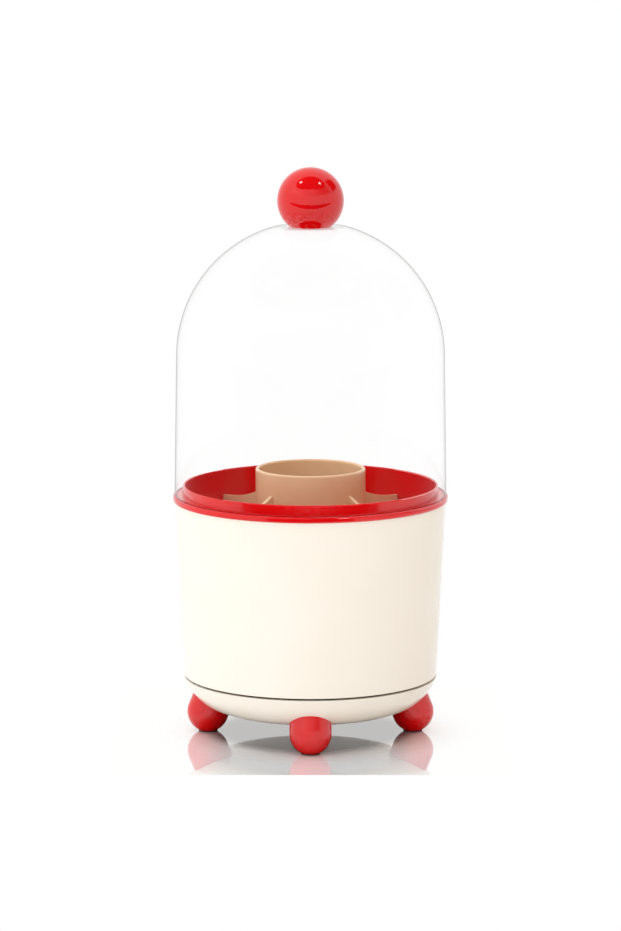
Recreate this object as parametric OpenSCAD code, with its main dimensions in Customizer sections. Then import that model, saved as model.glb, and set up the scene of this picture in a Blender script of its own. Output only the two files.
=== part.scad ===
// Dustproof makeup organizer: a clear dome with a ball knob over a turning bucket on ball feet.
// Sizes are in millimetres. +Z is up, and the origin is on the ground below the turning axis.

/* [Feet] */
// Radius of each round foot
foot_r = 10.7; // [9:0.1:12.5]
// How far the circle on which the feet stand lies inside the bowl's rim
foot_inset = 12; // [10:0.2:15]
// Radius of the flat under each foot, and of its rubber pad
foot_flat_r = 4.9; // [4:0.1:6]
// Thickness of the rubber pad glued under each foot
pad_t = 0.7; // [0.5:0.1:1.6]
// Radius of the spigot that each foot sends through the base
foot_spigot_r = 4; // [3:0.1:4.6]
// Height of the flat boss inside the base at each foot
foot_boss_h = 1; // [0.6:0.1:2]

/* [Base bowl] */
// Radius of the bowl at its upper rim
base_rim_r = 64.6; // [62:0.1:66]
// Height of the bowl
base_h = 16.8; // [16:0.1:19]
// Radius of the round corner between the bowl's floor and its rim
base_corner_r = 23.6; // [20:0.2:26]
// Wall of the bowl
base_wall = 2.4; // [1.8:0.1:3]
// Height of the bowl's floor above the ground
ground_gap = 12.7; // [11:0.1:15]

/* [Turntable] */
// Radius of the steel balls
ball_r = 2.5; // [2:0.1:3]
// Number of steel balls
ball_count = 16; // [8:1:20]
// How far the circle that the balls run on lies inside the bowl's rim
race_inset = 23.6; // [21.6:0.5:26.6]
// Free space around each ball in its grooves
ball_clear = 0.2; // [0.1:0.05:0.3]
// Distance between the two raceway faces
race_gap = 3; // [2.6:0.1:3.4]
// Thickness of the lower raceway
race_t = 3; // [2.6:0.1:3.6]
// Thickness of the cage that spaces the balls
cage_t = 1.2; // [0.8:0.1:1.8]
// Thickness of the turning plate
plate_t = 2; // [1.6:0.1:2.6]
// Height of the raised raceway under the turning plate
plate_land_h = 1; // [0.6:0.1:1.6]
// How far the plate lies above the shell's lower edge
plate_rise = 0.6; // [0.4:0.1:1]
// Width of the lower raceway outside its groove
race_lip_w = 2.8; // [2:0.1:3.4]
// Width of the upper raceway on each side of its groove
land_lip_w = 2.3; // [1.6:0.1:2.8]
// Width of the cage on each side of the balls
cage_lip_w = 1.6; // [1:0.1:2]
// Free space around each ball in its pocket of the cage
pocket_clear = 0.12; // [0.08:0.02:0.2]
// Wall of the dust skirt that hangs inside the base rim
skirt_t = 1.6; // [1.2:0.1:2.2]
// How far the dust skirt reaches below the base rim
skirt_drop = 2.3; // [1.5:0.1:3]
// Radius of the turning hub
hub_r = 5; // [4:0.1:6]
// Running clearance of the hub in its bore
hub_clear = 0.05; // [0.02:0.01:0.1]
// Radius of the washer that holds the hub down
washer_r = 8.5; // [7.5:0.1:9.5]
// Thickness of that washer
washer_t = 1; // [0.8:0.1:1.4]
// Thickness of the cap that closes the pivot from below
cap_t = 1; // [0.8:0.1:1.6]

/* [Outer shell] */
// Free gap at the seam between the base and the turning shell
seam_gap = 1; // [0.5:0.1:1.5]
// Height of the outer shell
shell_h = 89.8; // [70:0.2:120]
// Radius of the outer shell at its upper rim
shell_top_r = 69; // [67:0.1:72]
// Wall of the outer shell
shell_wall = 2.4; // [1.8:0.1:3]
// Thickness of the outer shell's floor
shell_floor_t = 2.4; // [1.8:0.1:3.2]
// Round on the outer shell's lower edge
shell_edge_r = 0.5; // [0.3:0.1:1]

/* [Inner bucket] */
// Free gap between the inner bucket and the outer shell
liner_clear = 1.4; // [0.6:0.1:2]
// Wall of the inner bucket
liner_wall = 1.4; // [1.2:0.1:2]
// Height of the inner bucket's floor above the shell's floor
liner_lift = 8.2; // [7:0.1:14]
// Thickness of the inner bucket's floor
liner_floor_t = 2; // [1.4:0.1:3]
// Round inside the inner bucket's floor corner
liner_corner_r = 5; // [3:0.5:9]
// Thickness of the rim flange
rim_t = 3; // [2.8:0.1:5]
// Round on the edge of the rim flange
rim_edge_r = 0.8; // [0.4:0.1:1.3]
// Width of the ledge outside the dome
rim_ledge = 0.8; // [0.6:0.1:2.4]
// Height of the collar above the ledge
collar_h = 5.2; // [3:0.1:8]
// How much the collar narrows towards its top
collar_draft = 0.2; // [0:0.05:0.4]

/* [Divider] */
// Radius of the divider's centre tube
tube_r = 28; // [22:0.5:34]
// How far the centre tube stands above the collar
tube_rise = 8.5; // [2:0.5:16]
// Wall of the divider
divider_wall = 2; // [1.4:0.1:3]
// Depth of the fins' outer ends below the collar's top
fin_drop = 13; // [6:0.5:30]
// How far each fin climbs from its outer end to the centre tube
fin_climb = 10; // [4:0.5:16]
// Free gap between the fins and the inner bucket
fin_clear = 0.5; // [0.3:0.1:1]

/* [Dome and knob] */
// Free gap between the dome's lip and the collar
dome_clear = 2.4; // [0.8:0.1:3]
// Wall of the clear dome
dome_wall = 1.6; // [1.2:0.1:3]
// Height of the dome's straight wall
dome_wall_h = 71.2; // [40:0.1:110]
// How much wider the dome is at its lip than at the top of its straight wall
dome_draft = 1.1; // [0:0.1:2]
// Chamfer on both edges of the dome's lip
dome_lip_edge = 0.4; // [0.1:0.1:0.6]
// How far the dome's flat seat lies below a full half sphere
crown_drop = 2.4; // [1.5:0.1:5]
// Radius that blends the flat seat into the dome
crown_blend_r = 10; // [6:1:30]
// Radius of the ball knob
knob_r = 16.9; // [13:0.1:20]
// Radius of the ring on which the ball knob stands
knob_seat_r = 10.6; // [9.5:0.1:12]
// Wall of the hollow ball knob
knob_wall = 2.4; // [1.8:0.1:3]
// Thickness of the plug that closes the ball knob
plug_t = 1.6; // [1.2:0.1:2.4]
// Width of the ring on which the ball knob stands
knob_rim_w = 1.3; // [1:0.1:2]
// Wall of the plug around the dome's stud
plug_wall = 2; // [1.4:0.1:3]
// Radius of the dome's stud inside the knob
stud_r = 4; // [3:0.1:4.6]
// Height of the dome's stud
stud_h = 8; // [5:0.5:9]

/* [Fasteners] */
// Radius of the screws' shanks
screw_r = 1.25; // [1:0.05:1.5]
// Radius of the screws' heads
screw_head_r = 2.7; // [2.2:0.1:3.2]
// Height of the screws' heads
screw_head_h = 1.7; // [1.4:0.1:2]
// Radius of the washer heads on the foot screws
washer_head_r = 5.5; // [5:0.1:6]
// Length of the raceway screws
race_screw_l = 7; // [6:0.5:9]
// Length of the foot screws' shanks
foot_screw_l = 11; // [8:0.5:13]
// Thickness of the foot screws' washer heads
washer_head_t = 1.2; // [0.8:0.1:1.6]
// Depth of the plate screws in the inner bucket's bosses
boss_screw_depth = 6.5; // [4:0.5:8]
// Wall of those bosses around their screws
boss_wall = 2.75; // [2:0.05:3.5]
// Radius of the pivot screw's shank
pivot_screw_r = 1.9; // [1.5:0.1:2.2]
// Radius of the pivot screw's head
pivot_head_r = 4.2; // [3.4:0.1:4.8]
// Height of the pivot screw's head
pivot_head_h = 2.4; // [1.8:0.1:3]
// Length of the pivot screw in the hub
pivot_screw_l = 10; // [8:0.5:12]

/* [Hidden] */
$fn = 96;
fit = 0.05;
hole_fit = 0.02;
screw_clear = 0.3;
head_sink = 0.1;
hole_end = 0.5;
head_land = 1;
foot_step = 90;
screw_step = 90;
screw_turn = 45;
fin_turn = 45;

// The bowl's round corner and the feet that stand square to it
seam_z = ground_gap + base_h;
foot_circle_r = base_rim_r - foot_inset;
base_arc_z = ground_gap + base_corner_r;
base_arc_r = base_rim_r - sqrt(pow(base_corner_r, 2) - pow(base_corner_r - base_h, 2));
foot_z = pad_t + sqrt(pow(foot_r, 2) - pow(foot_flat_r, 2));
foot_tilt = atan2(foot_circle_r - base_arc_r, base_arc_z - foot_z);
foot_reach = norm([foot_circle_r - base_arc_r, base_arc_z - foot_z]);
foot_skin = foot_reach - base_corner_r;
foot_seat = foot_skin + base_wall + foot_boss_h;
foot_hole_l = foot_screw_l + 2 * hole_end;

// The turntable's levels, from the seam down
shell_z = seam_z + seam_gap;
plate_top_z = shell_z + plate_rise + plate_t;
plate_z = plate_top_z - plate_t;
land_z = plate_z - plate_land_h;
ball_z = land_z - race_gap / 2;
race_top_z = ball_z - race_gap / 2;
race_z = race_top_z - race_t;
ball_circle_r = base_rim_r - race_inset;
groove_r = ball_r + ball_clear;
race_out_r = ball_circle_r + groove_r + race_lip_w;
race_screw_gap = 3.4;
race_screw_r = ball_circle_r - groove_r - race_screw_gap - screw_head_r;
race_in_lip_w = 1.4;
race_in_r = race_screw_r - screw_head_r - race_in_lip_w;
cage_half_w = ball_r + cage_lip_w;
land_half_w = groove_r + land_lip_w;
plate_screw_r = race_in_r - screw_head_r;
skirt_clear = 0.7;
skirt_r = base_inside_r(seam_z - skirt_drop) - skirt_clear;
rib_h = 1.6;
rib_t = 1.6;
rib_merge = 0.5;
rib_count = 8;

// The pivot, from the bowl's underside up
play = 0.15;
head_gap = 0.45;
pivot_recess_h = cap_t + head_gap + pivot_head_h + washer_t + play;
pivot_recess_clear = 1;
pivot_recess_r = washer_r + pivot_recess_clear;
pivot_ceiling_z = ground_gap + pivot_recess_h;
hub_z = pivot_ceiling_z - play;
post_r = pivot_recess_r + base_wall;
spigot_step = 1;
spigot_r = hub_r + spigot_step;

// The shell, the inner bucket and its rim
shell_floor_z = plate_top_z;
shell_top_z = shell_z + shell_h;
shell_slope = (shell_top_r - base_rim_r) / shell_h;
liner_z = shell_floor_z + shell_floor_t + liner_lift;
liner_floor_z = liner_z + liner_floor_t;
ledge_z = shell_top_z + rim_t;
collar_r = liner_out_r(shell_top_z);
collar_top_z = ledge_z + collar_h;
boss_r = screw_r + boss_wall;
plate_screw_l = plate_t + shell_floor_t + boss_screw_depth;

// The dome and the knob
lip_r = collar_r + dome_clear + dome_wall;
dome_r = lip_r - dome_draft;
rim_r = lip_r + rim_ledge;
dome_centre_z = ledge_z + dome_wall_h;
seat_z = dome_centre_z + dome_r - crown_drop;
knob_z = seat_z + sqrt(pow(knob_r, 2) - pow(knob_seat_r, 2));
plug_r = knob_seat_r - knob_rim_w;
plug_hub_r = stud_r + plug_wall;
stud_gap = 0.2;
plug_end_t = 1.3;

// Inside radius of the base bowl at a height in its round corner
function base_inside_r(z) =
    base_arc_r + sqrt(pow(base_corner_r - base_wall, 2) - pow(base_arc_z - z, 2));

// Outside radius of the tapered shell, and of the inner bucket hung inside it
function shell_out_r(z) = base_rim_r + shell_slope * (z - shell_z);
function liner_out_r(z) = shell_out_r(z) - shell_wall - liner_clear;

// What lies outside an arc between two angles less than half a turn apart
module outside_arc(r, from, to) {
    reach = 2 * r;
    middle = (from + to) / 2;
    difference() {
        polygon([
            [0, 0],
            reach * [cos(from), sin(from)],
            reach * [cos(middle), sin(middle)],
            reach * [cos(to), sin(to)]
        ]);
        circle(r);
    }
}

// Half section of a solid cup: flat floor, round corner, a wall that leans out and a straight neck
module cup_section(r, z, slope, top_z, corner, neck_z) {
    neck_r = r + slope * (top_z - z);
    difference() {
        polygon([[0, z], [r, z], [neck_r, top_z], [neck_r, neck_z], [0, neck_z]]);
        cup_corner(r, z, slope, corner);
    }
}

// What lies outside the round corner of a cup
module cup_corner(r, z, slope, corner) {
    lean = atan(slope);
    translate([r + slope * corner - corner / cos(lean), z + corner])
        outside_arc(corner, -90, -lean);
}

// Half section of the bowl's solid form, drawn in from its outside by an amount
module base_section(inset, top_z) {
    corner = base_corner_r - inset;
    floor_z = ground_gap + inset;
    difference() {
        translate([0, floor_z])
            square([base_arc_r + corner, top_z - floor_z]);
        translate([base_arc_r, base_arc_z])
            outside_arc(corner, -90, 0);
    }
}

module base_outside() {
    rotate_extrude()
        base_section(0, seam_z);
}

// Puts children on the tilted axis of a foot, with its ball's centre at zero
module on_foot_axis() {
    translate([foot_circle_r, 0, foot_z])
        rotate([0, -foot_tilt, 0])
            children();
}

module around(step, turn = 0) {
    for (angle = [turn : step : turn + 359])
        rotate([0, 0, angle])
            children();
}

// A tapping screw that points down, with its head's seat at zero
module screw(shank_r, length, head_r, head_h, flange_r = 0, flange_t = 0) {
    tip_l = 1.6 * shank_r;
    tip_r = 0.3 * shank_r;
    crown_r = 0.7 * head_r;
    top = flange_t + head_h;
    rotate_extrude()
        polygon([
            [0, -length],
            [tip_r, -length],
            [shank_r, tip_l - length],
            [shank_r, 0],
            [max(flange_r, head_r), 0],
            [max(flange_r, head_r), flange_t],
            [head_r, flange_t],
            [head_r, top - head_h / 2],
            [crown_r, top],
            [0, top]
        ]);
}

module ring(inner, outer, z, height) {
    difference() {
        translate([0, 0, z])
            cylinder(r = outer, h = height);
        translate([0, 0, z - 1])
            cylinder(r = inner, h = height + 2);
    }
}

// The ring-shaped groove that the balls run in
module ball_groove() {
    rotate_extrude()
        translate([ball_circle_r, ball_z])
            circle(groove_r);
}

module base_bowl() {
    support_w = 2;
    boss_land = 0.8;
    support_r = ball_circle_r - support_w / 2;
    color("ivory")
        difference() {
            union() {
                rotate_extrude()
                    difference() {
                        base_section(0, seam_z);
                        base_section(base_wall, seam_z + 1);
                    }
                intersection() {
                    union() {
                        translate([0, 0, ground_gap])
                            cylinder(r = post_r, h = race_top_z - ground_gap);
                        ring(support_r, support_r + support_w, ground_gap, race_z - ground_gap);
                        around(screw_step)
                            translate([race_screw_r, 0, ground_gap])
                                cylinder(r = screw_head_r + head_land, h = race_z - ground_gap);
                        around(foot_step)
                            on_foot_axis()
                                translate([0, 0, foot_skin])
                                    cylinder(r = washer_head_r + boss_land, h = base_wall + foot_boss_h);
                    }
                    base_outside();
                }
            }
            translate([0, 0, ground_gap - 1])
                cylinder(r = pivot_recess_r, h = pivot_recess_h + 1);
            cylinder(r = hub_r + hub_clear, h = seam_z);
            around(screw_step)
                translate([race_screw_r, 0, ground_gap + base_wall])
                    cylinder(r = screw_r + hole_fit, h = base_h);
            around(foot_step)
                on_foot_axis()
                    cylinder(r = foot_spigot_r + fit, h = foot_reach);
        }
}

module foot(angle) {
    color("crimson")
        rotate([0, 0, angle])
            difference() {
                union() {
                    difference() {
                        on_foot_axis()
                            rotate_extrude()
                                difference() {
                                    translate([0, -foot_r])
                                        square([foot_r, foot_r + foot_seat]);
                                    outside_arc(foot_r, -90, 0);
                                }
                        base_outside();
                    }
                    on_foot_axis()
                        cylinder(r = foot_spigot_r, h = foot_seat);
                }
                translate([foot_circle_r, 0, pad_t - foot_r])
                    cylinder(r = 2 * foot_r, h = foot_r);
                on_foot_axis()
                    translate([0, 0, foot_seat - foot_hole_l])
                        cylinder(r = screw_r + hole_fit, h = 2 * foot_hole_l);
            }
}

module foot_pads() {
    edge = 0.25;
    color("dimgray")
        around(foot_step)
            translate([foot_circle_r, 0, 0])
                rotate_extrude()
                    polygon([
                        [0, 0],
                        [foot_flat_r - edge, 0],
                        [foot_flat_r, edge],
                        [foot_flat_r, pad_t],
                        [0, pad_t]
                    ]);
}

module foot_screws() {
    color("silver")
        around(foot_step)
            on_foot_axis()
                translate([0, 0, foot_seat])
                    screw(screw_r, foot_screw_l, screw_head_r, screw_head_h,
                        washer_head_r, washer_head_t);
}

// Press-fit cap that hides the pivot screw, with a short skirt that grips the recess
module pivot_cap() {
    skirt_h = 1.6;
    skirt_w = 0.7;
    cap_r = pivot_recess_r - fit;
    color("ivory") {
        translate([0, 0, ground_gap])
            cylinder(r = cap_r, h = cap_t);
        ring(cap_r - skirt_w, cap_r, ground_gap + cap_t / 2, cap_t / 2 + skirt_h);
    }
}

module lower_race() {
    color("darkslategray")
        difference() {
            ring(race_in_r, race_out_r, race_z, race_t);
            ball_groove();
            around(screw_step)
                translate([race_screw_r, 0, race_z - 1]) {
                    cylinder(r = screw_r + screw_clear, h = race_t + 2);
                    translate([0, 0, 1 + race_t - screw_head_h - head_sink])
                        cylinder(r = screw_head_r + screw_clear, h = screw_head_h + 2);
                }
        }
}

module race_screws() {
    color("silver")
        around(screw_step)
            translate([race_screw_r, 0, race_top_z - screw_head_h - head_sink])
                screw(screw_r, race_screw_l, screw_head_r, screw_head_h);
}

module bearing_balls() {
    color("lightgray")
        around(360 / ball_count)
            translate([ball_circle_r, 0, ball_z])
                sphere(ball_r);
}

module ball_cage() {
    color("whitesmoke")
        difference() {
            ring(ball_circle_r - cage_half_w, ball_circle_r + cage_half_w, ball_z - cage_t / 2, cage_t);
            around(360 / ball_count)
                translate([ball_circle_r, 0, ball_z - cage_t])
                    cylinder(r = ball_r + pocket_clear, h = 2 * cage_t);
        }
}

// Turning plate: upper raceway, dust skirt, stiffening ribs and the hub that the base carries
module turning_plate() {
    color("darkslategray")
        difference() {
            union() {
                translate([0, 0, plate_z])
                    cylinder(r = skirt_r, h = plate_t);
                ring(skirt_r - skirt_t, skirt_r, seam_z - skirt_drop, plate_z - seam_z + skirt_drop);
                ring(ball_circle_r - land_half_w, ball_circle_r + land_half_w, land_z, plate_land_h);
                translate([0, 0, hub_z])
                    cylinder(r = hub_r, h = plate_z - hub_z);
                translate([0, 0, plate_top_z])
                    cylinder(r = spigot_r, h = shell_floor_t);
                around(360 / rib_count, 180 / rib_count)
                    translate([0, -rib_t / 2, plate_z - rib_h])
                        cube([ball_circle_r - land_half_w + rib_merge, rib_t, rib_h]);
            }
            ball_groove();
            translate([0, 0, hub_z - 1])
                cylinder(r = pivot_screw_r + hole_fit, h = pivot_screw_l + 2);
            around(screw_step, screw_turn)
                translate([plate_screw_r, 0, plate_z - rib_h - 1])
                    cylinder(r = screw_r + screw_clear, h = plate_t + rib_h + 2);
        }
}

module plate_screws() {
    color("silver")
        around(screw_step, screw_turn)
            translate([plate_screw_r, 0, plate_z])
                rotate([180, 0, 0])
                    screw(screw_r, plate_screw_l, screw_head_r, screw_head_h);
}

module pivot_washer() {
    color("silver")
        ring(pivot_screw_r + screw_clear, washer_r, hub_z - washer_t, washer_t);
}

module pivot_screw() {
    color("silver")
        translate([0, 0, hub_z - washer_t])
            rotate([180, 0, 0])
                screw(pivot_screw_r, pivot_screw_l + washer_t, pivot_head_r, pivot_head_h);
}

module outer_shell() {
    color("ivory")
        difference() {
            rotate_extrude()
                difference() {
                    cup_section(base_rim_r, shell_z, shell_slope, shell_top_z, shell_edge_r,
                        shell_top_z);
                    translate([0, shell_z - 1])
                        square([base_rim_r - shell_wall, shell_floor_z - shell_z + 1]);
                    cup_section(shell_out_r(shell_floor_z) - shell_wall, shell_floor_z + shell_floor_t,
                        shell_slope, shell_top_z + 1, shell_edge_r, shell_top_z + 1);
                }
            translate([0, 0, shell_floor_z - 1])
                cylinder(r = spigot_r + fit, h = shell_floor_t + 2);
            around(screw_step, screw_turn)
                translate([plate_screw_r, 0, shell_floor_z - 1])
                    cylinder(r = screw_r + screw_clear, h = shell_floor_t + 2);
        }
}

// Half section of the inner bucket, with its rim flange and the collar that centres the dome
module bucket_section() {
    inner = collar_r - liner_wall;
    top_r = collar_r - collar_draft;
    round_r = (top_r - inner) / 2;
    edge_r = rim_r - rim_edge_r;
    difference() {
        polygon([
            [0, liner_z],
            [liner_out_r(liner_z), liner_z],
            [collar_r, shell_top_z],
            [rim_r, shell_top_z],
            [rim_r, ledge_z],
            [collar_r, ledge_z],
            [top_r, collar_top_z - round_r],
            [top_r, collar_top_z],
            [0, collar_top_z]
        ]);
        cup_corner(liner_out_r(liner_z), liner_z, shell_slope, liner_corner_r + liner_wall);
        cup_section(liner_out_r(liner_floor_z) - liner_wall, liner_floor_z, shell_slope, shell_top_z,
            liner_corner_r, collar_top_z + 1);
        translate([edge_r, shell_top_z + rim_edge_r])
            outside_arc(rim_edge_r, -90, 0);
        translate([edge_r, ledge_z - rim_edge_r])
            outside_arc(rim_edge_r, 0, 90);
        translate([inner + round_r, collar_top_z - round_r])
            round_end(round_r);
    }
}

// What lies outside a half-round end that points up
module round_end(r) {
    outside_arc(r, 0, 90);
    outside_arc(r, 90, 180);
}

module inner_bucket() {
    color("crimson")
        difference() {
            union() {
                rotate_extrude()
                    bucket_section();
                around(screw_step, screw_turn)
                    translate([plate_screw_r, 0, liner_z - liner_lift])
                        cylinder(r = boss_r, h = liner_lift + liner_floor_t / 2);
            }
            around(screw_step, screw_turn)
                translate([plate_screw_r, 0, liner_z - liner_lift - 1])
                    cylinder(r = screw_r + hole_fit, h = 1 + boss_screw_depth + hole_end);
        }
}

// One fin of the divider, drawn in its own plane and scooped down towards its outer end
module divider_fin() {
    outer_z = collar_top_z - fin_drop;
    inner_z = outer_z + fin_climb;
    low_r = liner_out_r(liner_floor_z) - liner_wall - fin_clear;
    high_r = liner_out_r(outer_z) - liner_wall - fin_clear;
    run = high_r - tube_r;
    scoop_r = (pow(run, 2) + pow(fin_climb, 2)) / (2 * fin_climb);
    start = tube_r - divider_wall / 2;
    rotate([90, 0, 0])
        translate([0, 0, -divider_wall / 2])
            linear_extrude(divider_wall)
                difference() {
                    polygon([
                        [start, liner_floor_z],
                        [low_r - liner_corner_r, liner_floor_z],
                        [low_r + shell_slope * liner_corner_r, liner_floor_z + liner_corner_r],
                        [high_r, outer_z],
                        [high_r, inner_z],
                        [start, inner_z]
                    ]);
                    translate([high_r, outer_z + scoop_r])
                        circle(scoop_r);
                }
}

module divider() {
    tube_top_z = collar_top_z + tube_rise;
    round_r = divider_wall / 2;
    color("ivory") {
        rotate_extrude()
            translate([tube_r - divider_wall, 0])
                difference() {
                    translate([0, liner_floor_z])
                        square([divider_wall, tube_top_z - liner_floor_z]);
                    translate([round_r, tube_top_z - round_r])
                        round_end(round_r);
                }
        around(screw_step, fin_turn)
            divider_fin();
    }
}

// Half section of the dome's solid form: drafted wall, half sphere, blend and flat seat
module dome_section(inset, edge) {
    r = dome_r - inset;
    low_r = lip_r - inset;
    blend = crown_blend_r - inset;
    top = seat_z - inset - dome_centre_z;
    rise = top - blend;
    run = sqrt(pow(r - blend, 2) - pow(rise, 2));
    translate([0, dome_centre_z])
        difference() {
            polygon([
                [0, -dome_wall_h],
                [low_r + edge, -dome_wall_h],
                [low_r, dome_lip_edge - dome_wall_h],
                [r, 0],
                [r, top],
                [0, top]
            ]);
            outside_arc(r, 0, 90);
            translate([run, rise])
                outside_arc(blend, atan2(rise, run), 90);
        }
}

module dome_cover() {
    color("aliceblue", 0.35) {
        rotate_extrude()
            difference() {
                dome_section(0, -dome_lip_edge);
                dome_section(dome_wall, dome_lip_edge);
            }
        translate([0, 0, seat_z - dome_wall / 2])
            cylinder(r = stud_r, h = stud_h + dome_wall / 2);
    }
}

module knob_plug() {
    color("crimson")
        difference() {
            translate([0, 0, seat_z]) {
                cylinder(r = plug_r - fit, h = plug_t);
                cylinder(r = plug_hub_r, h = stud_h + stud_gap + plug_end_t);
            }
            translate([0, 0, seat_z - 1])
                cylinder(r = stud_r + fit, h = 1 + stud_h + stud_gap);
        }
}

module knob_ball() {
    color("crimson")
        difference() {
            translate([0, 0, knob_z])
                sphere(knob_r);
            translate([0, 0, knob_z])
                sphere(knob_r - knob_wall);
            translate([0, 0, seat_z - 2 * knob_r])
                cylinder(r = 2 * knob_r, h = 2 * knob_r);
            translate([0, 0, seat_z - 1])
                cylinder(r = plug_r, h = plug_t + 1);
        }
}

base_bowl();
foot(0);  // foot_right
foot(90);  // foot_back
foot(180);  // foot_left
foot(270);  // foot_front
foot_pads();
foot_screws();
pivot_cap();
lower_race();
race_screws();
bearing_balls();
ball_cage();
turning_plate();
plate_screws();
pivot_washer();
pivot_screw();
outer_shell();
inner_bucket();
divider();
dome_cover();
knob_plug();
knob_ball();
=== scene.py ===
import math

import bpy
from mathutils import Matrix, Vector


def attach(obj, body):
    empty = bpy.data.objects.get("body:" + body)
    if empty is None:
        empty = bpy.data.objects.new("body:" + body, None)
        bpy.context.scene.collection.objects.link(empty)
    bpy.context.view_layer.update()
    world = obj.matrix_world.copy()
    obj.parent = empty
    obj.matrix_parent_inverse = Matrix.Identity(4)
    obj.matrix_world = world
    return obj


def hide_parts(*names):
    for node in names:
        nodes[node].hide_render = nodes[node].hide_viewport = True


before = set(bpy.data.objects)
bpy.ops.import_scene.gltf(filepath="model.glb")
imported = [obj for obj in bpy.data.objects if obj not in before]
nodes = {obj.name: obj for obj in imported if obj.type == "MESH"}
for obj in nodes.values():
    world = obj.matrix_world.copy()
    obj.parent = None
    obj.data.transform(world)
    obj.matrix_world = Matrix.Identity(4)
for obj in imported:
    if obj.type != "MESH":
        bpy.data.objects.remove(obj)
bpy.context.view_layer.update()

# Ball feet: four polished balls that lean in towards the base, injection moulded in bright red
# ABS. Each is held by a screw from inside the base, and stands on a glued pad of silicone rubber.


def linear(code):
    """Linear colour from an sRGB hex value."""
    parts = [int(code[i : i + 2], 16) / 255 for i in (1, 3, 5)]
    return [p / 12.92 if p <= 0.04045 else ((p + 0.055) / 1.055) ** 2.4 for p in parts] + [1.0]


def add(tree, kind, inputs=None, **settings):
    """A new node with its settings, and for each input a value, a list of links, or a link from
    a socket or a node's first output."""
    node = tree.nodes.new(kind)
    for name, value in settings.items():
        setattr(node, name, value)
    for key, given in (inputs or {}).items():
        for value in given if isinstance(given, list) else [given]:
            if isinstance(value, bpy.types.Node):
                value = value.outputs[0]
            if isinstance(value, bpy.types.NodeSocket):
                tree.links.new(value, node.inputs[key])
            else:
                node.inputs[key].default_value = value
    return node


def blank_material(name):
    """A material with an empty tree, and Object coordinates in millimetres."""
    material = bpy.data.materials.new(name)
    material.use_nodes = True
    tree = material.node_tree
    tree.nodes.clear()
    metres = add(tree, "ShaderNodeTexCoord").outputs["Object"]
    place = add(tree, "ShaderNodeVectorMath", {0: metres, "Scale": 1000}, operation="SCALE")
    return material, tree, place


# Noise rarely leaves this span, so colours and roughness are spread over it.
noise_span = {"From Min": 0.35, "From Max": 0.65}


def moulded(name, colours, polish, ior, cloud_mm, peel_mm, peel_depth_mm, shine=0.5):
    """Injection-moulded plastic: faint clouds from the melt's flow, a gloss that follows the
    mould's polish, and a shallow orange-peel skin."""
    material, tree, place = blank_material(name)
    flow = add(tree, "ShaderNodeTexNoise", {"Vector": place, "Scale": 1 / cloud_mm, "Detail": 3})
    clouds = add(tree, "ShaderNodeMapRange", {"Value": flow, **noise_span})
    colour, cloud_colour = [tuple(linear(code)) for code in colours]
    # A Mix node for colours takes its share at 0 and its colours at 6 and 7. The result is at 2.
    tint = add(
        tree, "ShaderNodeMix", {0: clouds, 6: colour, 7: cloud_colour}, data_type="RGBA"
    ).outputs[2]
    # Rub marks are a fifth of the clouds' size.
    rub = add(tree, "ShaderNodeTexNoise", {"Vector": place, "Scale": 5 / cloud_mm, "Detail": 4})
    smooth, dull = polish
    gloss = add(
        tree, "ShaderNodeMapRange", {"Value": rub, **noise_span, "To Min": smooth, "To Max": dull}
    )
    peel = add(tree, "ShaderNodeTexNoise", {"Vector": place, "Scale": 1 / peel_mm, "Detail": 1})
    bump = add(tree, "ShaderNodeBump", {"Distance": peel_depth_mm / 1000, "Height": peel})
    shader = add(
        tree,
        "ShaderNodeBsdfPrincipled",
        {
            "Base Color": tint,
            "Roughness": gloss,
            "IOR": ior,
            "Specular IOR Level": shine,
            "Normal": bump,
        },
    )
    add(tree, "ShaderNodeOutputMaterial", {"Surface": shader})
    return material


def dress(node, material):
    """One material for a CAD node's whole mesh."""
    nodes[node].data.materials.clear()
    nodes[node].data.materials.append(material)


# Polished ABS: a deep even red under a hard gloss.
red_foot_abs = moulded(
    "red_abs_polished_feet",
    colours=("#DE070B", "#D40609"),
    polish=(0.02, 0.05),
    ior=1.53,
    cloud_mm=14,
    peel_mm=2.4,
    peel_depth_mm=0.004,
    shine=0.6,
)
# Moulded silicone: matt, with a fine grain. The grain is drawn at 0.5 mm, coarser than real.
silicone = moulded(
    "red_silicone_moulded",
    colours=("#5A1A16", "#641E1A"),
    polish=(0.5, 0.7),
    ior=1.41,
    cloud_mm=4,
    peel_mm=0.5,
    peel_depth_mm=0.02,
)
for foot in ("foot_right", "foot_back", "foot_left", "foot_front"):
    dress(foot, red_foot_abs)
dress("foot_pads", silicone)

# Foot screws: four zinc-plated tapping screws with washer heads, driven from inside the base
# along the feet's axes. They take the place of the CAD model's screws with plain shanks.

# Millimetres and radians. The ring and the height are those of the heads' seats.
foot_screw = {
    "Ring radius": 49.607,
    "Height": 17.585,
    "Turn": 0.0,
    "Tilt": math.radians(-22.1),
    "Shank radius": 1.25,
    "Shank length": 11.0,
    "Flange radius": 5.5,
    "Flange height": 1.2,
    "Head radius": 2.7,
    "Head height": 1.7,
}

screw_tree = bpy.data.node_groups.new("ring_of_tapping_screws", "GeometryNodeTree")
face = screw_tree.interface
face.new_socket("Count", in_out="INPUT", socket_type="NodeSocketInt")
for size_name in foot_screw:
    face.new_socket(size_name, in_out="INPUT", socket_type="NodeSocketFloat")
face.new_socket("Thread pitch", in_out="INPUT", socket_type="NodeSocketFloat")
face.new_socket("Finish", in_out="INPUT", socket_type="NodeSocketMaterial")
face.new_socket("Screws", in_out="OUTPUT", socket_type="NodeSocketGeometry")
tree = screw_tree
size = add(tree, "NodeGroupInput").outputs
shank_r, shank_l = size["Shank radius"], size["Shank length"]

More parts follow.
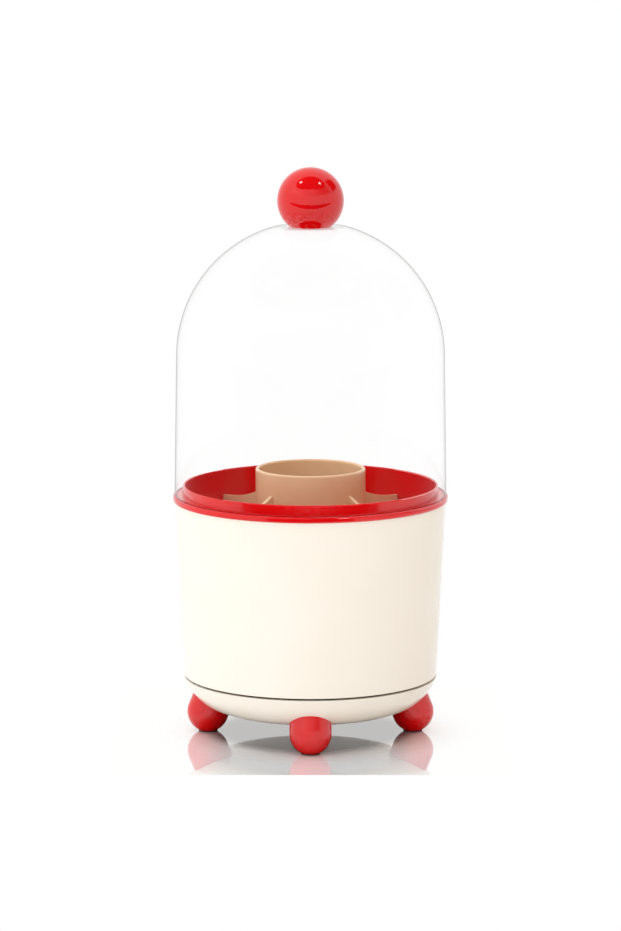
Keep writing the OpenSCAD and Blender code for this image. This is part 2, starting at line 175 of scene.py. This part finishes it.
# The core with its blunt point, below the head's seat at zero.
core_share = 0.8
point_share = 1.6
tip_share = 0.3
core_r = add(tree, "ShaderNodeMath", {0: shank_r, 1: core_share}, operation="MULTIPLY")
point_l = add(tree, "ShaderNodeMath", {0: shank_r, 1: point_share}, operation="MULTIPLY")
point_r = add(tree, "ShaderNodeMath", {0: shank_r, 1: tip_share}, operation="MULTIPLY")
core_l = add(tree, "ShaderNodeMath", {0: shank_l, 1: point_l}, operation="SUBTRACT")
core = add(tree, "GeometryNodeMeshCylinder", {"Vertices": 24, "Radius": core_r, "Depth": core_l})
core_z = add(tree, "ShaderNodeMath", {0: core_l, 1: -0.5}, operation="MULTIPLY")
core_at = add(tree, "ShaderNodeCombineXYZ", {"Z": core_z})
core = add(tree, "GeometryNodeTransform", {"Geometry": core, "Translation": core_at})
point = add(
    tree,
    "GeometryNodeMeshCone",
    {"Vertices": 24, "Radius Top": core_r, "Radius Bottom": point_r, "Depth": point_l},
)
point_z = add(tree, "ShaderNodeMath", {0: shank_l, 1: -1.0}, operation="MULTIPLY")
point_at = add(tree, "ShaderNodeCombineXYZ", {"Z": point_z})
point = add(tree, "GeometryNodeTransform", {"Geometry": point, "Translation": point_at})

# The thread: a ridge along a helix round the core, whose crest lies at the shank's radius.
helix_share = 0.76
ridge_share = 0.24
helix_r = add(tree, "ShaderNodeMath", {0: shank_r, 1: helix_share}, operation="MULTIPLY")
ridge_r = add(tree, "ShaderNodeMath", {0: shank_r, 1: ridge_share}, operation="MULTIPLY")
turns = add(tree, "ShaderNodeMath", {0: core_l, 1: size["Thread pitch"]}, operation="DIVIDE")
helix = add(
    tree,
    "GeometryNodeCurveSpiral",
    {
        "Resolution": 20,
        "Rotations": turns,
        "Start Radius": helix_r,
        "End Radius": helix_r,
        "Height": core_l,
    },
)
helix = add(tree, "GeometryNodeSetCurveNormal", {"Curve": helix}, mode="Z_UP")
ridge = add(tree, "GeometryNodeCurvePrimitiveCircle", {"Resolution": 4, "Radius": ridge_r})
thread = add(
    tree, "GeometryNodeCurveToMesh", {"Curve": helix, "Profile Curve": ridge, "Fill Caps": True}
)
thread_z = add(tree, "ShaderNodeMath", {0: core_l, 1: -1.0}, operation="MULTIPLY")
thread_at = add(tree, "ShaderNodeCombineXYZ", {"Z": thread_z})
thread = add(tree, "GeometryNodeTransform", {"Geometry": thread, "Translation": thread_at})

# The head: a flange, and a tapered pan with a cross recess pressed into its top. The cross is cut
# by two wings, and their floors differ in height so that each cut leaves a closed mesh.
top_share = 0.7
wing_l_share = 1.1
wing_w_share = 0.26
wing_h_share = 1.2
flange_h, head_r, head_h = size["Flange height"], size["Head radius"], size["Head height"]
flange = add(
    tree,
    "GeometryNodeMeshCylinder",
    {"Vertices": 48, "Radius": size["Flange radius"], "Depth": flange_h},
)
flange_z = add(tree, "ShaderNodeMath", {0: flange_h, 1: 0.5}, operation="MULTIPLY")
flange_at = add(tree, "ShaderNodeCombineXYZ", {"Z": flange_z})
flange = add(tree, "GeometryNodeTransform", {"Geometry": flange, "Translation": flange_at})
top_r = add(tree, "ShaderNodeMath", {0: head_r, 1: top_share}, operation="MULTIPLY")
pan = add(
    tree,
    "GeometryNodeMeshCone",
    {"Vertices": 32, "Radius Top": top_r, "Radius Bottom": head_r, "Depth": head_h},
)
pan_at = add(tree, "ShaderNodeCombineXYZ", {"Z": flange_h})
pan = add(tree, "GeometryNodeTransform", {"Geometry": pan, "Translation": pan_at})
wing_l = add(tree, "ShaderNodeMath", {0: head_r, 1: wing_l_share}, operation="MULTIPLY")
wing_w = add(tree, "ShaderNodeMath", {0: head_r, 1: wing_w_share}, operation="MULTIPLY")
wing_h = add(tree, "ShaderNodeMath", {0: head_h, 1: wing_h_share}, operation="MULTIPLY")
head_top = add(tree, "ShaderNodeMath", {0: flange_h, 1: head_h}, operation="ADD")
wing_at = add(tree, "ShaderNodeCombineXYZ", {"Z": head_top})
head = pan
for sides in ({"X": wing_l, "Y": wing_w, "Z": wing_h}, {"X": wing_w, "Y": wing_l, "Z": head_h}):
    wing_size = add(tree, "ShaderNodeCombineXYZ", sides)
    wing = add(tree, "GeometryNodeMeshCube", {"Size": wing_size})
    wing = add(tree, "GeometryNodeTransform", {"Geometry": wing, "Translation": wing_at})
    head = add(
        tree, "GeometryNodeMeshBoolean", {"Mesh 1": head, "Mesh 2": wing}, operation="DIFFERENCE"
    )

# One screw in metres, then its copies round the ring.
mm = 0.001
screw = add(tree, "GeometryNodeJoinGeometry", {"Geometry": [core, point, thread, flange, head]})
screw = add(tree, "GeometryNodeTransform", {"Geometry": screw, "Scale": (mm, mm, mm)})
index = add(tree, "GeometryNodeInputIndex")
step = add(tree, "ShaderNodeMath", {0: math.tau, 1: size["Count"]}, operation="DIVIDE")
angle = add(
    tree, "ShaderNodeMath", {0: index, 1: step, 2: size["Turn"]}, operation="MULTIPLY_ADD"
)
seat = add(tree, "ShaderNodeCombineXYZ", {"X": size["Ring radius"], "Z": size["Height"]})
seat = add(tree, "ShaderNodeVectorMath", {0: seat, "Scale": mm}, operation="SCALE")
seat = add(
    tree, "ShaderNodeVectorRotate", {"Vector": seat, "Angle": angle}, rotation_type="Z_AXIS"
)
seats = add(tree, "GeometryNodePoints", {"Count": size["Count"], "Position": seat})
lean = add(tree, "ShaderNodeCombineXYZ", {"Y": size["Tilt"], "Z": angle})
lean = add(tree, "FunctionNodeEulerToRotation", {"Euler": lean})
ring = add(
    tree, "GeometryNodeInstanceOnPoints", {"Points": seats, "Instance": screw, "Rotation": lean}
)
ring = add(tree, "GeometryNodeRealizeInstances", {"Geometry": ring})
ring = add(tree, "GeometryNodeSetMaterial", {"Geometry": ring, "Material": size["Finish"]})
add(tree, "NodeGroupOutput", {"Screws": ring})


def plated(name, colours, polish, cloud_mm):
    """Plated or polished metal with faint clouds in its colour and gloss."""
    material, tree, place = blank_material(name)
    film = add(tree, "ShaderNodeTexNoise", {"Vector": place, "Scale": 1 / cloud_mm, "Detail": 4})
    clouds = add(tree, "ShaderNodeMapRange", {"Value": film, **noise_span})
    colour, cloud_colour = [tuple(linear(code)) for code in colours]
    tint = add(
        tree, "ShaderNodeMix", {0: clouds, 6: colour, 7: cloud_colour}, data_type="RGBA"
    ).outputs[2]
    smooth, dull = polish
    gloss = add(
        tree, "ShaderNodeMapRange", {"Value": film, **noise_span, "To Min": smooth, "To Max": dull}
    )
    shader = add(
        tree, "ShaderNodeBsdfPrincipled", {"Base Color": tint, "Roughness": gloss, "Metallic": 1.0}
    )
    add(tree, "ShaderNodeOutputMaterial", {"Surface": shader})
    return material


# Zinc-plated steel: bluish and slightly cloudy.
zinc = plated(
    "steel_zinc_plated", colours=("#C6C9CE", "#B4B7BC"), polish=(0.22, 0.4), cloud_mm=3
)


def drive_screws(name, node, body, sizes, count=4, pitch=1.1):
    """The ring of screws that stands for a CAD node, as a plain mesh on its body."""
    piece = bpy.data.objects.new(name, bpy.data.meshes.new(name))
    bpy.context.scene.collection.objects.link(piece)
    ring = piece.modifiers.new("ring", "NODES")
    ring.node_group = screw_tree
    values = {"Count": count, "Thread pitch": pitch, "Finish": zinc, **sizes}
    for socket in screw_tree.interface.items_tree:
        if socket.in_out == "INPUT":
            ring[socket.identifier] = values[socket.name]
    graph = bpy.context.evaluated_depsgraph_get()
    made = bpy.data.meshes.new_from_object(piece.evaluated_get(graph))
    piece.modifiers.clear()
    piece.data = made
    made.name = name
    made.materials.clear()
    made.materials.append(zinc)
    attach(piece, body)
    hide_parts(node)


drive_screws("foot_screw_set", "foot_screws", "base", foot_screw)

# Base bowl: low round bowl of cream ABS, injection moulded and polished. A press-fit cap of the
# same plastic closes the pivot's recess from below.

# Polished ABS: a warm cream under an even gloss.
cream_abs = moulded(
    "cream_abs_polished",
    colours=("#FAF4E8", "#F9F2E5"),
    polish=(0.05, 0.12),
    ior=1.53,
    cloud_mm=30,
    peel_mm=3,
    peel_depth_mm=0.004,
)
dress("base_bowl", cream_abs)
dress("pivot_cap", cream_abs)

# Turntable: two raceways of dark grey acetal, with steel balls between them in a nylon cage.
# The upper one's skirt hangs inside the base, and its near-black in the seam is painted shade
# that stands for the shadow in the gap.

# Moulded acetal: nearly black, with a dull waxy surface. Where the plate shows in the seam, the
# near-black is painted shade. Its fine grain is drawn at 0.8 mm, coarser than real.
acetal = moulded(
    "dark_acetal_and_painted_seam_shade",
    colours=("#1E1D1B", "#262522"),
    polish=(0.45, 0.6),
    ior=1.48,
    cloud_mm=12,
    peel_mm=0.8,
    peel_depth_mm=0.02,
)
# Moulded nylon: natural white, half matt, with a grain as coarse as the acetal's.
nylon = moulded(
    "white_nylon_moulded",
    colours=("#E9E8E2", "#E0DED6"),
    polish=(0.4, 0.55),
    ior=1.53,
    cloud_mm=8,
    peel_mm=0.8,
    peel_depth_mm=0.02,
)
# Ground and polished bearing steel: close to a mirror.
bearing_steel = plated(
    "bearing_steel_polished", colours=("#D3D5D8", "#CBCDD1"), polish=(0.05, 0.1), cloud_mm=5
)
dress("lower_race", acetal)
# The plate's near-black in the seam is painted shade.
dress("turning_plate", acetal)
dress("ball_cage", nylon)
dress("bearing_balls", bearing_steel)
dress("pivot_washer", zinc)

# Turntable screws: zinc-plated tapping screws. Four with pan heads hold the lower raceway on the
# base, and a stouter one goes up through the washer into the turning plate's hub.

pan_screw = {
    "Turn": 0.0,
    "Tilt": 0.0,
    "Shank radius": 1.25,
    "Flange radius": 2.7,
    "Flange height": 0.5,
    "Head radius": 2.55,
    "Head height": 1.2,
}
race_screw = {**pan_screw, "Ring radius": 32.2, "Height": 25.3, "Shank length": 7.0}
drive_screws("race_screw_set", "race_screws", "base", race_screw)
pivot_screw = {
    "Ring radius": 0.0,
    "Height": 16.55,
    "Turn": 0.0,
    "Tilt": math.pi,
    "Shank radius": 1.9,
    "Shank length": 11.0,
    "Flange radius": 4.2,
    "Flange height": 0.6,
    "Head radius": 4.0,
    "Head height": 1.8,
}
drive_screws("pivot_screw_single", "pivot_screw", "bucket", pivot_screw, count=1, pitch=1.5)

# Outer shell: tapered shell, injection moulded in the base's polished cream ABS. Four pan-head
# screws go up through the turning plate and the shell's floor into bosses of the inner bucket.

dress("outer_shell", cream_abs)
plate_screw = {
    **pan_screw,
    "Ring radius": 25.4,
    "Height": 31.1,
    "Turn": math.radians(45),
    "Tilt": math.pi,
    "Shank length": 10.9,
}
drive_screws("plate_screw_set", "plate_screws", "bucket", plate_screw)

# Inner bucket: liner with a rim, injection moulded in red ABS. Its rim flange covers the shell's
# edge, its collar centres the dome, and the plate's screws hold it from below.

# Polished ABS: nearly the feet's red, with a little less gloss than on the balls.
red_bucket_abs = moulded(
    "red_abs_polished_bucket",
    colours=("#E2070C", "#D8060B"),
    polish=(0.03, 0.07),
    ior=1.53,
    cloud_mm=26,
    peel_mm=2.4,
    peel_depth_mm=0.004,
)
dress("inner_bucket", red_bucket_abs)

# Divider: lift-out insert with a centre tube and four fins, injection moulded in warm tan
# polypropylene. It stands loose on the bucket's floor.

# Moulded polypropylene: softer and waxier than the ABS.
tan_pp = moulded(
    "tan_pp_moulded",
    colours=("#E8C29A", "#E2B98F"),
    polish=(0.16, 0.26),
    ior=1.49,
    cloud_mm=34,
    peel_mm=3,
    peel_depth_mm=0.004,
)
dress("divider", tan_pp)

# Clear dome: straight wall and round crown in one piece, injection moulded in clear PET and
# polished on both faces. It stands loose on the bucket's rim, round the collar.

# The middle of the dome's wall in millimetres: the crown's centre and the radius there, and how
# far the wall widens from it down to the open rim.
crown_centre_mm = 194.5
mid_wall_r_mm = 67.3
wall_draft_mm = 1.1
wall_h_mm = 71.2
# The knob's flat seat lies above the first of these heights, the open rim below the second.
crown_flat_mm = 259.4
open_rim_mm = 123.5
rim_tint = 0.35
tint_power = 16.0
gloss_power = 6.0
outer_gloss = 0.85
both_gloss = 0.05
least_gloss = 0.004
wipe_mm = 18
wipe_polish = (0.01, 0.04)
ripple_mm = 9
ripple_depth_mm = 0.004


def clear_moulded(name, edge_colour):
    """Thin clear plastic: it hardly bends what is seen through it. Its outer face has the gloss,
    and the tint gathers where one looks along the wall, at the outline."""
    material, tree, place = blank_material(name)
    # The outer face is told from the inner one by the middle of the wall between them.
    split = add(tree, "ShaderNodeSeparateXYZ", {0: place}).outputs
    above = add(tree, "ShaderNodeMath", {0: split["Z"], 1: crown_centre_mm}, operation="SUBTRACT")
    up = add(tree, "ShaderNodeMath", {0: above, 1: 0.0}, operation="MAXIMUM")
    down = add(tree, "ShaderNodeMath", {0: above, 1: 0.0}, operation="MINIMUM")
    spoke = add(tree, "ShaderNodeCombineXYZ", {"X": split["X"], "Y": split["Y"], "Z": up})
    reach = add(tree, "ShaderNodeVectorMath", {0: spoke}, operation="LENGTH").outputs["Value"]
    slope = -wall_draft_mm / wall_h_mm
    middle = add(
        tree, "ShaderNodeMath", {0: down, 1: slope, 2: mid_wall_r_mm}, operation="MULTIPLY_ADD"
    )
    round_face = add(tree, "ShaderNodeMath", {0: reach, 1: middle}, operation="GREATER_THAN")
    flat_face = add(
        tree, "ShaderNodeMath", {0: split["Z"], 1: crown_flat_mm}, operation="GREATER_THAN"
    )
    outer = add(tree, "ShaderNodeMath", {0: round_face, 1: flat_face}, operation="MAXIMUM")
    # The tint and the gloss grow towards the outline, the tint later than the gloss.
    facing = add(tree, "ShaderNodeLayerWeight", {"Blend": 0.5}).outputs["Facing"]
    last = add(tree, "ShaderNodeMath", {0: facing, 1: tint_power}, operation="POWER")
    along = add(tree, "ShaderNodeMath", {0: last, 1: outer}, operation="MULTIPLY")
    # The open rim's flat face is a little darker, as one looks up along the wall there.
    below = add(tree, "ShaderNodeMath", {0: split["Z"], 1: open_rim_mm}, operation="LESS_THAN")
    below = add(tree, "ShaderNodeMath", {0: below, 1: rim_tint}, operation="MULTIPLY")
    along = add(tree, "ShaderNodeMath", {0: along, 1: below}, operation="MAXIMUM")
    edge = tuple(linear(edge_colour))
    tint = add(
        tree, "ShaderNodeMix", {0: along, 6: (1, 1, 1, 1), 7: edge}, data_type="RGBA"
    ).outputs[2]
    grazing = add(tree, "ShaderNodeMath", {0: facing, 1: gloss_power}, operation="POWER")
    most = add(
        tree, "ShaderNodeMath", {0: outer, 1: outer_gloss, 2: both_gloss}, operation="MULTIPLY_ADD"
    )
    share = add(
        tree, "ShaderNodeMath", {0: grazing, 1: most, 2: least_gloss}, operation="MULTIPLY_ADD"
    )
    # Faint wipe marks and the flow's ripples.
    wipe = add(tree, "ShaderNodeTexNoise", {"Vector": place, "Scale": 1 / wipe_mm, "Detail": 4})
    smooth, dull = wipe_polish
    gloss = add(
        tree, "ShaderNodeMapRange", {"Value": wipe, **noise_span, "To Min": smooth, "To Max": dull}
    )
    flow = add(tree, "ShaderNodeTexNoise", {"Vector": place, "Scale": 1 / ripple_mm, "Detail": 1})
    ripple = add(tree, "ShaderNodeBump", {"Distance": ripple_depth_mm / 1000, "Height": flow})
    through = add(tree, "ShaderNodeBsdfTransparent", {"Color": tint})
    mirror = add(
        tree, "ShaderNodeBsdfGlossy", {"Color": tint, "Roughness": gloss, "Normal": ripple}
    )
    shader = add(tree, "ShaderNodeMixShader", {0: share, 1: through, 2: mirror})
    add(tree, "ShaderNodeOutputMaterial", {"Surface": shader})
    return material


# Polished PET: colourless, greyish where one looks along the wall.
clear_pet = clear_moulded("clear_pet_polished", "#3A3C3D")
dress("dome_cover", clear_pet)

# Ball knob: hollow ball of red ABS, injection moulded and polished. A plug of the same plastic
# closes it from below and grips the dome's stud.

# Polished ABS: nearly the feet's deep red, under the same hard gloss.
red_knob_abs = moulded(
    "red_abs_polished_knob",
    colours=("#E00A0F", "#D6080D"),
    polish=(0.02, 0.05),
    ior=1.53,
    cloud_mm=22,
    peel_mm=2.4,
    peel_depth_mm=0.004,
    shine=0.55,
)
dress("knob_plug", red_knob_abs)
dress("knob_ball", red_knob_abs)

# Table top: a white floor under a square of glossy white acrylic on which the organizer stands.
# To the camera and in reflections the open floor is plain white. Close round the base it keeps
# the object's shadow, and right below the base a painted shadow darkens it further.

table_half = 3.0
table = bpy.data.meshes.new("table_top")
corners = [(-1, -1), (1, -1), (1, 1), (-1, 1)]
table.from_pydata([(x * table_half, y * table_half, 0) for x, y in corners], [], [(0, 1, 2, 3)])
table_top = bpy.data.objects.new("table_top", table)
bpy.context.scene.collection.objects.link(table_top)

acrylic, tree, place = blank_material("white_acrylic_and_paper")
split = add(tree, "ShaderNodeSeparateXYZ", {0: place}).outputs
path = add(tree, "ShaderNodeLightPath").outputs
from_middle = add(tree, "ShaderNodeVectorMath", {0: place}, operation="LENGTH").outputs["Value"]
# Right below the base the floor is painted dark, a painted shadow, and only past the feet is it
# plain white. In reflections both reach farther out, which paints shade into the reflections on
# the feet's lower sides.
mirrored_reach_mm = 12
painted_shadow_to_mm, paper_from_mm = 42, 58
shaded_to_mm, white_from_mm = 52, 88
# Colour of the painted shadow below the base.
painted_shadow_floor = (0.07, 0.045, 0.035, 1)
paper_white = (0.92, 0.92, 0.9, 1)
white = (1, 1, 1, 1)
from_middle = add(
    tree,
    "ShaderNodeMath",
    {0: path["Is Glossy Ray"], 1: -mirrored_reach_mm, 2: from_middle},
    operation="MULTIPLY_ADD",
)
out_of_painted_shadow = add(
    tree,
    "ShaderNodeMapRange",
    {"Value": from_middle, "From Min": painted_shadow_to_mm, "From Max": paper_from_mm},
    interpolation_type="SMOOTHSTEP",
)
shade = add(
    tree, "ShaderNodeMix", {0: out_of_painted_shadow, 6: painted_shadow_floor, 7: paper_white}, data_type="RGBA"
).outputs[2]
matt = add(tree, "ShaderNodeBsdfDiffuse", {"Color": shade})
lit = add(tree, "ShaderNodeEmission", {"Color": white, "Strength": 1.0})
open_floor = add(
    tree,
    "ShaderNodeMapRange",
    {"Value": from_middle, "From Min": shaded_to_mm, "From Max": white_from_mm},
    interpolation_type="SMOOTHSTEP",
)
seen = add(
    tree,
    "ShaderNodeMath",
    {0: path["Is Camera Ray"], 1: path["Is Glossy Ray"]},
    operation="MAXIMUM",
)
seen_lit = add(tree, "ShaderNodeMath", {0: open_floor, 1: seen}, operation="MULTIPLY")
paper = add(tree, "ShaderNodeMixShader", {0: seen_lit, 1: matt, 2: lit})
# A dark strip in front, painted on the floor for gloss rays only, which the knob and the rim
# mirror as a dark line: a painted reflection.
strip_near_mm = 620
strip_far_mm = 1550
painted_reflection_strip_colour = (0.02, 0.02, 0.02, 1)
near = add(tree, "ShaderNodeMath", {0: split["Y"], 1: -strip_near_mm}, operation="LESS_THAN")
far = add(tree, "ShaderNodeMath", {0: split["Y"], 1: -strip_far_mm}, operation="GREATER_THAN")
strip = add(tree, "ShaderNodeMath", {0: near, 1: far}, operation="MULTIPLY")
strip = add(tree, "ShaderNodeMath", {0: strip, 1: path["Is Glossy Ray"]}, operation="MULTIPLY")
matt_dark = add(tree, "ShaderNodeBsdfDiffuse", {"Color": painted_reflection_strip_colour})
floor = add(tree, "ShaderNodeMixShader", {0: strip, 1: paper, 2: matt_dark})
# The acrylic square mirrors more the flatter one looks at it.
tile_half_mm = 99.0
mirror_power = 1.3
mirror_share = 0.72
acrylic_roughness = 0.01
far_x = add(tree, "ShaderNodeMath", {0: split["X"]}, operation="ABSOLUTE")
far_y = add(tree, "ShaderNodeMath", {0: split["Y"]}, operation="ABSOLUTE")
farther = add(tree, "ShaderNodeMath", {0: far_x, 1: far_y}, operation="MAXIMUM")
on_tile = add(tree, "ShaderNodeMath", {0: farther, 1: tile_half_mm}, operation="LESS_THAN")
facing = add(tree, "ShaderNodeLayerWeight", {"Blend": 0.5}).outputs["Facing"]
flat = add(tree, "ShaderNodeMath", {0: facing, 1: mirror_power}, operation="POWER")
flat = add(tree, "ShaderNodeMath", {0: flat, 1: mirror_share}, operation="MULTIPLY")
share = add(tree, "ShaderNodeMath", {0: on_tile, 1: flat}, operation="MULTIPLY")
mirror = add(tree, "ShaderNodeBsdfGlossy", {"Color": white, "Roughness": acrylic_roughness})
shader = add(tree, "ShaderNodeMixShader", {0: share, 1: floor, 2: mirror})
add(tree, "ShaderNodeOutputMaterial", {"Surface": shader})
table.materials.append(acrylic)

# Light tent: soft light from the left and front, less from the right. The camera sees it plain
# white. Gloss sees it dim to the right, with a dark opening overhead and a dark panel.

world = bpy.data.worlds.new("light_tent")
bpy.context.scene.world = world
world.use_nodes = True
tree = world.node_tree
tree.nodes.clear()
path = add(tree, "ShaderNodeLightPath").outputs
direction = add(tree, "ShaderNodeTexCoord").outputs["Generated"]
split = add(tree, "ShaderNodeSeparateXYZ", {0: direction}).outputs

# The light on matt surfaces: walls that dim from left to right, and a dark low wall on the right.
# Directions run from -1 to 1 on each axis.
to_middle = add(
    tree,
    "ShaderNodeMapRange",
    {"Value": split["X"], "From Min": -0.9, "From Max": 0.0},
    interpolation_type="SMOOTHSTEP",
)
to_right = add(
    tree,
    "ShaderNodeMapRange",
    {"Value": split["X"], "From Min": 0.0, "From Max": 0.75},
    interpolation_type="SMOOTHSTEP",
)
left_wall = (1.21, 1.29, 1.35, 1)
front_wall = (1.32, 1.31, 1.33, 1)
right_wall = (0.76, 0.62, 0.52, 1)
walls = add(
    tree, "ShaderNodeMix", {0: to_middle, 6: left_wall, 7: front_wall}, data_type="RGBA"
).outputs[2]
walls = add(
    tree, "ShaderNodeMix", {0: to_right, 6: walls, 7: right_wall}, data_type="RGBA"
).outputs[2]
low_wall = (1.08, 1.06, 1.05, 1)
low_right_wall = (0.05, 0.04, 0.035, 1)
low = add(
    tree, "ShaderNodeMix", {0: to_right, 6: low_wall, 7: low_right_wall}, data_type="RGBA"
).outputs[2]
height = add(
    tree,
    "ShaderNodeMapRange",
    {"Value": split["Z"], "From Min": 0.05, "From Max": 0.45},
    interpolation_type="SMOOTHSTEP",
)
tent = add(tree, "ShaderNodeMix", {0: height, 6: low, 7: walls}, data_type="RGBA").outputs[2]

# Gloss sees the tent white behind and near the level. In front and above, it falls from left to
# right.
gloss_left = (1.3, 1.3, 1.3, 1)
gloss_middle = (0.8, 0.8, 0.8, 1)
gloss_right = (0.3, 0.3, 0.3, 1)
gloss_behind = (1.0, 0.995, 0.985, 1)
gloss = add(
    tree, "ShaderNodeMix", {0: to_middle, 6: gloss_left, 7: gloss_middle}, data_type="RGBA"
).outputs[2]
gloss = add(
    tree, "ShaderNodeMix", {0: to_right, 6: gloss, 7: gloss_right}, data_type="RGBA"
).outputs[2]
behind = add(tree, "ShaderNodeMapRange", {"Value": split["Y"], "From Min": -0.3, "From Max": 0.1})
level = add(tree, "ShaderNodeMapRange", {"Value": split["Z"], "From Min": 0.45, "From Max": 0.3})
plain = add(tree, "ShaderNodeMath", {0: behind, 1: level}, operation="MAXIMUM")
gloss = add(
    tree, "ShaderNodeMix", {0: plain, 6: gloss, 7: gloss_behind}, data_type="RGBA"
).outputs[2]
# A dark panel on the right, above the level and a little behind, gives the knob its dark crescent.
dark = (0.03, 0.03, 0.03, 1)
right = add(tree, "ShaderNodeMapRange", {"Value": split["X"], "From Min": 0.55, "From Max": 0.65})
from_front = {"Value": split["Y"], "From Min": 0.0, "From Max": 0.08}
to_back = {"Value": split["Y"], "From Min": 0.6, "From Max": 0.5}
from_below = {"Value": split["Z"], "From Min": 0.32, "From Max": 0.4}
panel = right
for side in (from_front, to_back, from_below):
    inside = add(tree, "ShaderNodeMapRange", side)
    panel = add(tree, "ShaderNodeMath", {0: panel, 1: inside}, operation="MULTIPLY")
gloss = add(tree, "ShaderNodeMix", {0: panel, 6: gloss, 7: dark}, data_type="RGBA").outputs[2]
# The dark opening overhead, wider from left to right.
opening_at = (0, -0.326, 0.946)
stretch = (0.55, 1, 1)
spread = add(tree, "ShaderNodeVectorMath", {0: direction, 1: stretch}, operation="MULTIPLY")
away = add(
    tree, "ShaderNodeVectorMath", {0: spread, 1: opening_at}, operation="DISTANCE"
).outputs["Value"]
past = add(
    tree,
    "ShaderNodeMapRange",
    {"Value": away, "From Min": 0.42, "From Max": 0.5},
    interpolation_type="SMOOTHSTEP",
)
gloss = add(tree, "ShaderNodeMix", {0: past, 6: dark, 7: gloss}, data_type="RGBA").outputs[2]

# Which ray sees what.
seen = add(
    tree, "ShaderNodeMix", {0: path["Is Glossy Ray"], 6: tent, 7: gloss}, data_type="RGBA"
).outputs[2]
straight = add(
    tree,
    "ShaderNodeMath",
    {0: path["Is Camera Ray"], 1: path["Is Transmission Ray"]},
    operation="MAXIMUM",
)
seen = add(tree, "ShaderNodeMix", {0: straight, 6: seen, 7: white}, data_type="RGBA").outputs[2]
glow = add(tree, "ShaderNodeBackground", {"Color": seen, "Strength": 1.0})
add(tree, "ShaderNodeOutputWorld", {"Surface": glow})

# Overhead lamps: two small disc lamps in the tent's opening, turned to the object. They give the
# knob its two glints.

lamps_round = Vector((0, 0, 0.2))
lamp_reach = 2.0
lamp_size = 0.26
lamp_watts = 2.0
for side, aim in (("left", (-0.436, -0.161, 0.885)), ("right", (0.434, -0.226, 0.872))):
    lamp = bpy.data.lights.new("overhead_lamp_" + side, "AREA")
    lamp.shape = "DISK"
    lamp.size = lamp_size
    lamp.energy = lamp_watts
    holder = bpy.data.objects.new("overhead_lamp_" + side, lamp)
    bpy.context.scene.collection.objects.link(holder)
    holder.location = lamps_round + lamp_reach * Vector(aim)
    holder.rotation_euler = Vector(aim).to_track_quat("Z", "Y").to_euler()

# Camera: a long lens from the front, nine degrees above the level.

lens_mm = 166.8
film_mm = 36
camera_at = Vector((0, -2.1678, 0.4939))
aim_at = Vector((0, 0, 0.138))
sight_end = 50
camera = bpy.data.cameras.new("camera")
camera.lens = lens_mm
camera.sensor_width = film_mm
camera.clip_end = sight_end
viewer = bpy.data.objects.new("camera", camera)
bpy.context.scene.collection.objects.link(viewer)
viewer.location = camera_at
viewer.rotation_euler = (aim_at - camera_at).to_track_quat("-Z", "Y").to_euler()
bpy.context.scene.camera = viewer
bpy.context.scene.view_settings.view_transform = "Standard"
